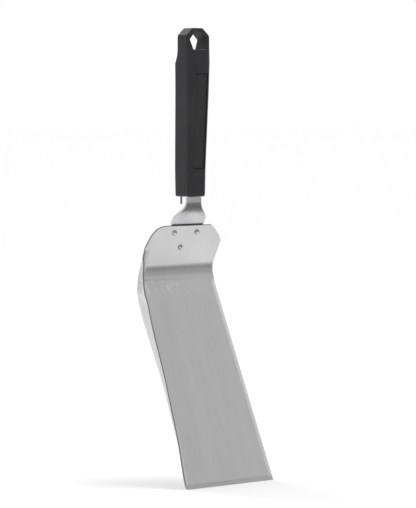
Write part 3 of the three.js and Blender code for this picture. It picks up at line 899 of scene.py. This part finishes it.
def ribbed_inlay():
    material, tree = new_material("ribbed_soft_touch")
    own = add(tree, "ShaderNodeTexCoord")
    split = add(tree, "ShaderNodeSeparateXYZ", None, {0: own.outputs["Object"]})
    turns = add(
        tree, "ShaderNodeMath", {"operation": "MULTIPLY", 1: 2 * math.pi / 0.0018},
        {0: split.outputs["X"]},
    )
    ribs = add(tree, "ShaderNodeMath", {"operation": "SINE"}, {0: turns.outputs[0]})
    skin = add(
        tree, "ShaderNodeTexNoise", {"Scale": 2500.0, "Detail": 2.0},
        {"Vector": own.outputs["Object"]},
    )
    smudge = add(
        tree, "ShaderNodeTexNoise", {"Scale": 70.0, "Detail": 2.0},
        {"Vector": own.outputs["Object"]},
    )
    height = add(
        tree, "ShaderNodeMath", {"operation": "MULTIPLY_ADD", 1: 0.2},
        {0: skin.outputs["Fac"], 2: ribs.outputs[0]},
    )
    bump = add(
        tree, "ShaderNodeBump", {"Strength": 0.5, "Distance": 0.00012},
        {"Height": height.outputs[0]},
    )
    rough = add(
        tree, "ShaderNodeMapRange", {"To Min": 0.55, "To Max": 0.75},
        {"Value": smudge.outputs["Fac"]},
    )
    # The colour follows the ribs: painted shade in the grooves and a painted highlight on the crests.
    colour = add(tree, "ShaderNodeValToRGB", None, {"Fac": ribs.outputs[0]})
    colour.color_ramp.elements[0].color = linear("212123")
    colour.color_ramp.elements[1].color = linear("303032")
    rubber = add(
        tree, "ShaderNodeBsdfPrincipled", {"Specular IOR Level": 0.4},
        {"Base Color": colour.outputs[0], "Roughness": rough.outputs[0], "Normal": bump.outputs[0]},
    )
    finish_material(tree, rubber)
    return material


soft_touch = ribbed_inlay()
for side, node in ((-1, "front_grip_inlay"), (1, "rear_grip_inlay")):
    inlay = loft(node + "_panel", inlay_rings(side, 0, 0))
    place(inlay, node)
    soften(inlay, 0.3, 2, 50)
    inlay.data.materials.append(soft_touch)
    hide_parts(node)
    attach(inlay, "root")

# ---- Tang clip and pins ------------------------------------------------------
# A spring steel fork and two cross pins lock the tang inside the handle. Only the
# clip's two legs show, below the handle. Plain mill finish with faint rolling lines.


def mill_finish():
    material, tree = new_material("mill_finish_spring_steel")
    own = add(tree, "ShaderNodeTexCoord")
    stretch = add(
        tree, "ShaderNodeMapping", {"Scale": (3000, 3000, 60)},
        {"Vector": own.outputs["Object"]},
    )
    lines = add(
        tree, "ShaderNodeTexNoise", {"Scale": 1.0, "Detail": 2.0},
        {"Vector": stretch.outputs[0]},
    )
    rough = add(
        tree, "ShaderNodeMapRange", {"To Min": 0.28, "To Max": 0.45},
        {"Value": lines.outputs["Fac"]},
    )
    bump = add(
        tree, "ShaderNodeBump", {"Strength": 0.12, "Distance": 0.00003},
        {"Height": lines.outputs["Fac"]},
    )
    metal = add(
        tree, "ShaderNodeBsdfPrincipled", {"Metallic": 1.0, "Base Color": linear("a9a9ac")},
        {"Roughness": rough.outputs[0], "Normal": bump.outputs[0]},
    )
    finish_material(tree, metal)
    return material


spring_steel = mill_finish()
for node in ("tang_clip", "tang_pin_lower", "tang_pin_upper"):
    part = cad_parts[node]
    part.data.materials.clear()
    part.data.materials.append(spring_steel)

# ---- Floor, light and camera -------------------------------------------------
# White paper floor that runs out of sight, under a white cove with a dimmer room in front.
# A soft sun stands high on the camera's right, with one panel on the right and one high
# behind. A dark felt card on the floor gives the fold something to mirror.
azimuth = math.radians(-40)
to_camera = Vector((math.sin(azimuth), -math.cos(azimuth), 0))
to_right = Vector((math.cos(azimuth), math.sin(azimuth), 0))


def flat_panel(name, corners):
    mesh = bpy.data.meshes.new(name)
    mesh.from_pydata(corners, [], [(0, 1, 2, 3)])
    piece = bpy.data.objects.new(name, mesh)
    bpy.context.scene.collection.objects.link(piece)
    return piece


def white_board():
    material, tree = new_material("white_paper_floor")
    own = add(tree, "ShaderNodeTexCoord")
    fibre = add(
        tree, "ShaderNodeTexNoise", {"Scale": 3.0, "Detail": 2.0},
        {"Vector": own.outputs["Object"]},
    )
    rough = add(
        tree, "ShaderNodeMapRange", {"To Min": 0.85, "To Max": 0.95},
        {"Value": fibre.outputs["Fac"]},
    )
    paper = add(
        tree, "ShaderNodeBsdfPrincipled", {"Base Color": linear("fafafa")},
        {"Roughness": rough.outputs[0]},
    )
    finish_material(tree, paper)
    return material


def dark_felt():
    material, tree = new_material("dark_felt_card")
    own = add(tree, "ShaderNodeTexCoord")
    nap = add(
        tree, "ShaderNodeTexNoise", {"Scale": 40.0, "Detail": 2.0},
        {"Vector": own.outputs["Object"]},
    )
    rough = add(
        tree, "ShaderNodeMapRange", {"To Min": 0.9, "To Max": 1.0},
        {"Value": nap.outputs["Fac"]},
    )
    felt = add(
        tree, "ShaderNodeBsdfPrincipled", {"Base Color": linear("5c5c5c")},
        {"Roughness": rough.outputs[0]},
    )
    finish_material(tree, felt)
    return material


floor = flat_panel("floor", [(-30, -30, 0), (30, -30, 0), (30, 30, 0), (-30, 30, 0)])
floor.data.materials.append(white_board())
# The card lies on the camera's right; its corners are in metres to the right of the tool
# and towards the camera.
card_corners = []
for rightward, forward in ((0.32, 1.0), (2.2, 1.0), (2.2, -0.1), (0.32, -0.1)):
    corner = to_right * rightward + to_camera * forward
    card_corners.append(corner + Vector((0, 0, 0.002)))
card = flat_panel("card", card_corners)
card.data.materials.append(dark_felt())
card.visible_diffuse = False
card.visible_shadow = False
card.visible_camera = False

world = bpy.data.worlds.new("studio")
bpy.context.scene.world = world
world.use_nodes = True
sky = world.node_tree
sky.nodes.clear()
# White cove behind and beside the tool, a dimmer room in front of it, darkest at eye level.
ray = add(sky, "ShaderNodeTexCoord")
facing = add(sky, "ShaderNodeSeparateXYZ", None, {0: ray.outputs["Generated"]})
in_front = add(
    sky, "ShaderNodeMapRange",
    {"interpolation_type": "SMOOTHSTEP", "From Min": 0.1, "From Max": -0.6},
    {"Value": facing.outputs["Y"]},
)
room = add(
    sky, "ShaderNodeMapRange",
    {"interpolation_type": "SMOOTHSTEP", "From Max": 0.3, "To Min": 0.2, "To Max": 0.66},
    {"Value": facing.outputs["Z"]},
)
glow = add(
    sky, "ShaderNodeMix", {"data_type": "FLOAT", 2: 0.8},
    {0: in_front.outputs[0], 3: room.outputs[0]},
)
seen = add(sky, "ShaderNodeLightPath")
level = add(
    sky, "ShaderNodeMix", {"data_type": "FLOAT", 3: 1.0},
    {0: seen.outputs["Is Camera Ray"], 2: glow.outputs[0]},
)
background = add(
    sky, "ShaderNodeBackground", {"Color": (1, 1, 1, 1)},
    {"Strength": level.outputs[0]},
)
add(sky, "ShaderNodeOutputWorld", None, {"Surface": background.outputs[0]})


def soft_box(name, position, target, size, power):
    light = bpy.data.lights.new(name, "AREA")
    light.shape = "RECTANGLE"
    light.size, light.size_y = size
    light.energy = power
    lamp = bpy.data.objects.new(name, light)
    lamp.location = position
    lamp.rotation_mode = "QUATERNION"
    lamp.rotation_quaternion = (Vector(target) - Vector(position)).to_track_quat("-Z", "Y")
    bpy.context.scene.collection.objects.link(lamp)


soft_box("right_panel", (1.8, -0.35, 0.85), (0, 0, 0.15), (0.9, 0.9), 1.2)
soft_box("back_panel", (-0.1, 2.0, 1.9), (0, 0, 0.4), (0.9, 0.9), 17)
sun = bpy.data.lights.new("overhead", "SUN")
sun.energy = 1.15
sun.angle = math.radians(35)
sun_lamp = bpy.data.objects.new("overhead", sun)
sun_lamp.rotation_mode = "QUATERNION"
sun_lamp.rotation_quaternion = Vector((-0.85, 0.39, -1.7)).to_track_quat("-Z", "Y")
sun_lamp.visible_glossy = False
bpy.context.scene.collection.objects.link(sun_lamp)

handle_low, handle_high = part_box("handle_body")
handle_back = max(level[4] for level in handle_levels)
axis = Vector(((handle_low[0] + handle_high[0]) / 2, handle_high[1] - handle_back * MM, 0))
camera_distance = 2.6736
camera_pitch = 0.056
aim_height = 0.2265
aim_shift = 0.01736
camera_data = bpy.data.cameras.new("camera")
camera_data.sensor_width = 36
camera_data.lens = 188.7874
camera_data.clip_end = 50
camera = bpy.data.objects.new("camera", camera_data)
camera.location = (
    axis + to_camera * camera_distance * math.cos(camera_pitch) + to_right * aim_shift
    + Vector((0, 0, aim_height + camera_distance * math.sin(camera_pitch)))
)
look = -to_camera * math.cos(camera_pitch) - Vector((0, 0, math.sin(camera_pitch)))
camera.rotation_mode = "QUATERNION"
camera.rotation_quaternion = look.to_track_quat("-Z", "Y")
bpy.context.scene.collection.objects.link(camera)
bpy.context.scene.camera = camera
bpy.context.scene.view_settings.view_transform = "Standard"
